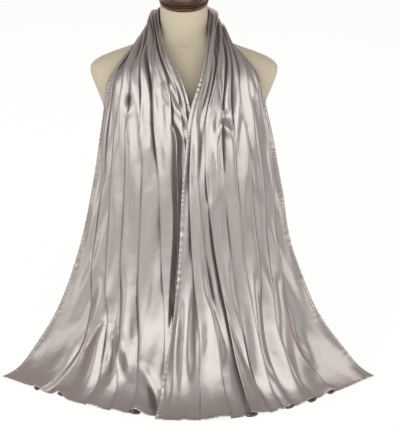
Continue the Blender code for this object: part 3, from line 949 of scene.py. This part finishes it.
def charmeuse_satin(colour):
    """Woven charmeuse: long floats of filament yarn that throw broad, streaked, pearly lights."""
    material, tree, shader = new_material("charmeuse_satin")
    cloth = add_node(tree, "ShaderNodeUVMap", uv_map="cloth")
    # The warp's slubs are 2 to 4 mm wide and hundreds long, so the eye reads faint lengthwise lines
    stretched = add_node(
        tree, "ShaderNodeMapping", [("Vector", cloth.outputs["UV"])], Scale=(300.0, 6.0, 1.0)
    )
    slubs = add_node(
        tree, "ShaderNodeTexNoise", [("Vector", stretched.outputs["Vector"])],
        Scale=1.0, Detail=3.0, Roughness=0.6,
    )
    tone = add_node(
        tree, "ShaderNodeMix", [("Factor", slubs.outputs["Fac"])],
        data_type="RGBA", A=toned(colour, 0.93), B=toned(colour, 1.07),
    )
    # The weft is pinker than the warp, and it shows where the cloth turns from the eye
    slant = add_node(tree, "ShaderNodeLayerWeight", Blend=0.4)
    shot = add_node(
        tree, "ShaderNodeMix",
        [("Factor", slant.outputs["Facing"]), ("A", tone.outputs["Result"])],
        data_type="RGBA", B=toned(colour, 1.16, 0.94, 0.94),
    )
    gloss = add_node(
        tree, "ShaderNodeMapRange", [("Value", slubs.outputs["Fac"])], To_Min=0.27, To_Max=0.35
    )
    # Yarns are 0.25 mm apart, finer than the picture shows, so they are drawn 1.2 mm apart
    yarns = add_node(
        tree, "ShaderNodeTexWave", [("Vector", cloth.outputs["UV"])],
        wave_type="BANDS", bands_direction="Y", Scale=260.0, Distortion=1.5, Detail=1.0,
    )
    relief = add_node(
        tree, "ShaderNodeMath", [(0, slubs.outputs["Fac"]), (1, yarns.outputs["Fac"])],
        operation="MULTIPLY_ADD",
    )
    relief.inputs[2].default_value = 0.0
    # Pressed-in dents, 20 to 60 mm long, break the long lights into patches
    dents = add_node(
        tree, "ShaderNodeTexNoise", [("Vector", cloth.outputs["UV"])],
        Scale=22.0, Detail=2.5, Roughness=0.5,
    )
    soft = add_node(
        tree, "ShaderNodeBump", [("Height", dents.outputs["Fac"])], Strength=0.5, Distance=0.003
    )
    bump = add_node(
        tree, "ShaderNodeBump",
        [("Height", relief.outputs["Value"]), ("Normal", soft.outputs["Normal"])],
        Strength=0.12, Distance=0.0004,
    )
    grain = add_node(tree, "ShaderNodeTangent", direction_type="UV_MAP", uv_map="cloth")
    set_up(
        tree, shader,
        [
            ("Base Color", shot.outputs["Result"]), ("Roughness", gloss.outputs["Result"]),
            ("Normal", bump.outputs["Normal"]), ("Tangent", grain.outputs["Tangent"]),
        ],
        Metallic=0.75, IOR=1.55, Anisotropic=0.45, Anisotropic_Rotation=0.25,
        Sheen_Weight=0.12, Sheen_Roughness=0.4, Sheen_Tint=(0.95, 0.92, 0.90, 1.0),
    )
    return material


def sewing_thread(colour):
    """Twisted polyester thread, a little darker and duller than the satin that it holds."""
    material, tree, shader = new_material("sewing_thread")
    spot = add_node(tree, "ShaderNodeTexCoord")
    fuzz = add_node(
        tree, "ShaderNodeTexNoise", [("Vector", spot.outputs["Object"])], Scale=900.0
    )
    mottle(
        tree, shader, fuzz.outputs["Fac"], toned(colour, 0.62), toned(colour, 0.88),
        Roughness=0.5, IOR=1.55, Sheen_Weight=0.1,
    )
    return material


def painted_shade_crepe(colour):
    """The satin's matt crepe back, painted far darker than the satin as painted shade inside the
    hem's curls.
    """
    material, tree, shader = new_material("painted_shade_crepe")
    cloth = add_node(tree, "ShaderNodeUVMap", uv_map="cloth")
    pebbles = add_node(
        tree, "ShaderNodeTexNoise", [("Vector", cloth.outputs["UV"])], Scale=60.0, Detail=3.0
    )
    # Painted shade: the crepe is drawn at a quarter to two fifths of the satin's colour
    mottle(
        tree, shader, pebbles.outputs["Fac"], toned(colour, 0.24, 0.17, 0.16),
        toned(colour, 0.42, 0.32, 0.30), Roughness=0.75, IOR=1.5, Sheen_Weight=0.1,
    )
    return material


def linen_cover(colour, spacing):
    """Plain-woven linen pulled over padding: matt, faintly slubbed and a little uneven in tone."""
    material, tree, shader = new_material("linen_cover")
    spot = add_node(tree, "ShaderNodeTexCoord")
    # Linen threads are about 0.6 mm apart, so the weave is drawn at 1.6 mm to show at all
    warp, weft = (
        add_node(
            tree, "ShaderNodeTexWave", [("Vector", spot.outputs["Object"])],
            wave_type="BANDS", bands_direction=direction, Scale=0.5 / spacing, Distortion=2.5,
            Detail=2.0, Detail_Scale=2.0,
        )
        for direction in ("X", "Z")
    )
    weave = add_node(
        tree, "ShaderNodeMath", [(0, warp.outputs["Fac"]), (1, weft.outputs["Fac"])],
        operation="ADD",
    )
    cloudy = add_node(
        tree, "ShaderNodeTexNoise", [("Vector", spot.outputs["Object"])],
        Scale=14.0, Detail=5.0, Roughness=0.65,
    )
    tone = add_node(
        tree, "ShaderNodeMix", [("Factor", cloudy.outputs["Fac"])],
        data_type="RGBA", A=toned(colour, 0.90), B=toned(colour, 1.08),
    )
    # Painted shade: where the bump sinks the weave, its colour is drawn up to 7% darker
    weave_painted_shade = add_node(
        tree, "ShaderNodeMapRange", [("Value", weave.outputs["Value"])],
        From_Max=2.0, To_Min=0.93, To_Max=1.0,
    )
    woven = add_node(
        tree, "ShaderNodeMix", [("A", tone.outputs["Result"]), ("B", weave_painted_shade.outputs["Result"])],
        data_type="RGBA", blend_type="MULTIPLY", Factor=1.0,
    )
    bump = add_node(
        tree, "ShaderNodeBump", [("Height", weave.outputs["Value"])],
        Strength=0.25, Distance=0.0005,
    )
    set_up(
        tree, shader,
        [("Base Color", woven.outputs["Result"]), ("Normal", bump.outputs["Normal"])],
        Roughness=0.88, IOR=1.5, Sheen_Weight=0.15, Sheen_Roughness=0.5,
    )
    return material


def varnished_wood(colour):
    """Turned hardwood, stained nearly black and varnished, with brown glints along its bands."""
    material, tree, shader = new_material("varnished_dark_wood")
    spot = add_node(tree, "ShaderNodeTexCoord")
    # Growth lines are about 2 mm apart and run up the turned block
    placed = add_node(
        tree, "ShaderNodeMapping", [("Vector", spot.outputs["Object"])], Scale=(1.0, 1.0, 0.12)
    )
    lines = add_node(
        tree, "ShaderNodeTexWave", [("Vector", placed.outputs["Vector"])],
        wave_type="RINGS", rings_direction="Z", Scale=75.0, Distortion=6.0, Detail=3.0,
    )
    mottle(
        tree, shader, lines.outputs["Fac"], toned(colour, 0.45), toned(colour, 1.5),
        dents=(0.08, 0.0004), Roughness=0.3, IOR=1.5, Specular_Tint=(1.0, 0.72, 0.5, 1.0),
        Coat_Weight=0.3, Coat_Roughness=0.15, Coat_IOR=1.45,
    )
    return material


def plain_board(colour):
    """Sawn softwood board with a matt face and soft straight grain."""
    material, tree, shader = new_material("plain_board")
    spot = add_node(tree, "ShaderNodeTexCoord")
    placed = add_node(
        tree, "ShaderNodeMapping", [("Vector", spot.outputs["Object"])], Scale=(0.15, 1.0, 1.0)
    )
    grain = add_node(
        tree, "ShaderNodeTexNoise", [("Vector", placed.outputs["Vector"])],
        Scale=160.0, Detail=6.0, Roughness=0.6,
    )
    mottle(
        tree, shader, grain.outputs["Fac"], toned(colour, 0.6), toned(colour, 1.25),
        dents=(0.2, 0.0005), Roughness=0.7, IOR=1.5,
    )
    return material


def finish_piece(piece, material, slot, *nodes):
    """Gives a piece its material and its place in the frame."""
    piece.data.materials.clear()
    piece.data.materials.append(material)
    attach(piece, "root")
    if nodes:
        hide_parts(*nodes)


class HIJAB_OT_scarf(bpy.types.Operator):
    """Lay the scarf's two halves over the form as thin satin sheets with hems and stitches"""

    bl_idname = "hijab.scarf"
    bl_label = "Scarf"

    def execute(self, context):
        settings = context.scene.hijab_scarf
        colour = tuple(settings.satin_colour)
        satin, thread, dark_crepe_shade = (
            make(colour) for make in (charmeuse_satin, sewing_thread, painted_shade_crepe)
        )
        nodes = {-1: ["scarf_left_end"], 1: ["scarf_right_end", "scarf_nape"]}
        for side, word in ((-1, "left"), (1, "right")):
            cloth = cloth_half(f"satin_{word}_half", side, settings)
            strips = edge_strips(side, settings)
            hem = band_shell(f"rolled_hem_{word}", strips)
            sewn = hem_stitches(f"hem_stitches_{word}", strips, settings)
            rolls = hem_rolls(f"hem_rolls_{word}", side, settings)
            finish_piece(cloth, satin, "satin", *nodes[side])
            finish_piece(hem, satin, "satin")
            # The curls' hollows take the crepe back painted dark, as painted shade
            finish_piece(rolls, dark_crepe_shade, "satin")
            finish_piece(sewn, thread, "satin")
        return {"FINISHED"}


class HIJAB_OT_dress_form(bpy.types.Operator):
    """Build the dress form's smooth torso and neck in its linen cover"""

    bl_idname = "hijab.dress_form"
    bl_label = "Dress form"

    def execute(self, context):
        settings = context.scene.hijab_form
        body = new_piece("dress_form_torso", form_bmesh(settings.ring_points))
        cover = linen_cover(tuple(settings.cover_colour), settings.thread_spacing)
        finish_piece(body, cover, "linen_cover", "form_body")
        return {"FINISHED"}


class HIJAB_OT_neck_cap(bpy.types.Operator):
    """Turn the wooden cap that closes the form's neck"""

    bl_idname = "hijab.neck_cap"
    bl_label = "Neck cap"

    def execute(self, context):
        places = np.arange(len(CAP_OUTLINE) - 1)
        smooth = natural_spline(places, CAP_OUTLINE[:-1])(np.linspace(0, places[-1], CAP_RINGS))
        outline = [*smooth, CAP_OUTLINE[-1]]
        bm = bmesh.new()
        verts = [bm.verts.new((max(0.0, r) * MM, 0.0, z * MM)) for r, z in outline]
        edges = [bm.edges.new(pair) for pair in zip(verts, verts[1:])]
        bmesh.ops.spin(
            bm, geom=verts + edges, cent=(0, 0, 0), axis=(0, 0, 1), angle=2 * math.pi,
            steps=CAP_STEPS, use_merge=True,
        )
        bmesh.ops.remove_doubles(bm, verts=bm.verts, dist=1e-6)
        bmesh.ops.recalc_face_normals(bm, faces=bm.faces)
        tilt = Matrix.Translation((0, 0, CAP_SEAT * MM)) @ Matrix.Rotation(CAP_TILT, 4, "X")
        bm.transform(tilt)
        cap = new_piece("neck_cap", bm)
        wood = varnished_wood(tuple(context.scene.hijab_form.cap_colour))
        finish_piece(cap, wood, "dark_wood", "form_neck_cap")
        return {"FINISHED"}


class HIJAB_OT_base_board(bpy.types.Operator):
    """Give the base board its plain wood"""

    bl_idname = "hijab.base_board"
    bl_label = "Base board"

    def execute(self, context):
        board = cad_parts["form_board"]
        board.data.materials.clear()
        board.data.materials.append(plain_board(tuple(context.scene.hijab_form.board_colour)))
        return {"FINISHED"}


def hang_light(box, power):
    """Hangs a softbox at its place, facing its point."""
    data = bpy.data.lights.new(box.name, "AREA")
    data.shape = "RECTANGLE"
    data.size, data.size_y = box.wide, box.high
    data.energy = box.share * power
    data.color = LAMP_TINT
    light = new_object(box.name, data)
    light.location = box.place
    facing = Vector(box.aim) - Vector(box.place)
    light.rotation_euler = facing.to_track_quat("-Z", "Y").to_euler()


class HIJAB_OT_stage(bpy.types.Operator):
    """Set the pale floor, the soft lights and the camera at the photograph's angle"""

    bl_idname = "hijab.stage"
    bl_label = "Stage"

    def execute(self, context):
        settings = context.scene.hijab_stage
        scene = context.scene
        bm = bmesh.new()
        bmesh.ops.create_grid(bm, x_segments=1, y_segments=1, size=FLOOR_HALF)
        floor = new_piece("floor", bm)
        paint, tree, shader = new_material("pale_floor")
        # It glows evenly, as a lit sweep does, so it takes on only faint shadows
        set_up(
            tree, shader, Base_Color=toned(settings.floor_colour, 0.12), Roughness=0.9,
            Emission_Color=toned(settings.floor_colour, 1.0), Emission_Strength=0.91,
        )
        floor.data.materials.append(paint)
        world = bpy.data.worlds.new("even studio light")
        world.use_nodes = True
        sky = world.node_tree.nodes["Background"]
        sky.inputs["Color"].default_value = ROOM_TINT
        sky.inputs["Strength"].default_value = settings.surround
        scene.world = world
        for box in SOFTBOXES:
            hang_light(box, settings.softbox_power)
        camera_data = bpy.data.cameras.new("camera")
        camera = new_object("camera", camera_data)
        elevation = settings.camera_elevation
        back = Vector((0.0, -math.cos(elevation), math.sin(elevation)))
        camera.location = Vector(CAMERA_TARGET) + back * settings.camera_distance
        camera.rotation_euler = (math.pi / 2 - elevation, 0.0, 0.0)
        camera_data.sensor_width = SENSOR_WIDTH
        camera_data.lens = SENSOR_WIDTH * settings.camera_distance / settings.picture_height
        camera_data.clip_end = 60.0
        scene.camera = camera
        scene.view_settings.view_transform = "Standard"
        return {"FINISHED"}


OPERATORS = (
    HIJAB_OT_scarf,
    HIJAB_OT_dress_form,
    HIJAB_OT_neck_cap,
    HIJAB_OT_base_board,
    HIJAB_OT_stage,
)


class VIEW3D_PT_hijab(bpy.types.Panel):
    """The pieces of the hijab and its dress form"""

    bl_label = "Hijab"
    bl_space_type = "VIEW_3D"
    bl_region_type = "UI"
    bl_category = "Hijab"

    def draw(self, context):
        for operator in OPERATORS:
            self.layout.operator(operator.bl_idname)
        for where in SETTINGS:
            group = getattr(context.scene, where)
            column = self.layout.column()
            for name in group.__annotations__:
                column.prop(group, name)


SETTINGS = {
    "hijab_scarf": ScarfSettings, "hijab_form": FormSettings, "hijab_stage": StageSettings,
}
CLASSES = (*SETTINGS.values(), *OPERATORS, VIEW3D_PT_hijab)


def register():
    for each in CLASSES:
        bpy.utils.register_class(each)
    for where, group in SETTINGS.items():
        setattr(bpy.types.Scene, where, PointerProperty(type=group))


def unregister():
    for where in SETTINGS:
        delattr(bpy.types.Scene, where)
    for each in reversed(CLASSES):
        bpy.utils.unregister_class(each)


def main():
    register()
    bpy.ops.hijab.scarf()
    bpy.ops.hijab.dress_form()
    bpy.ops.hijab.neck_cap()
    bpy.ops.hijab.base_board()
    bpy.ops.hijab.stage()


if __name__ == "__main__":
    main()
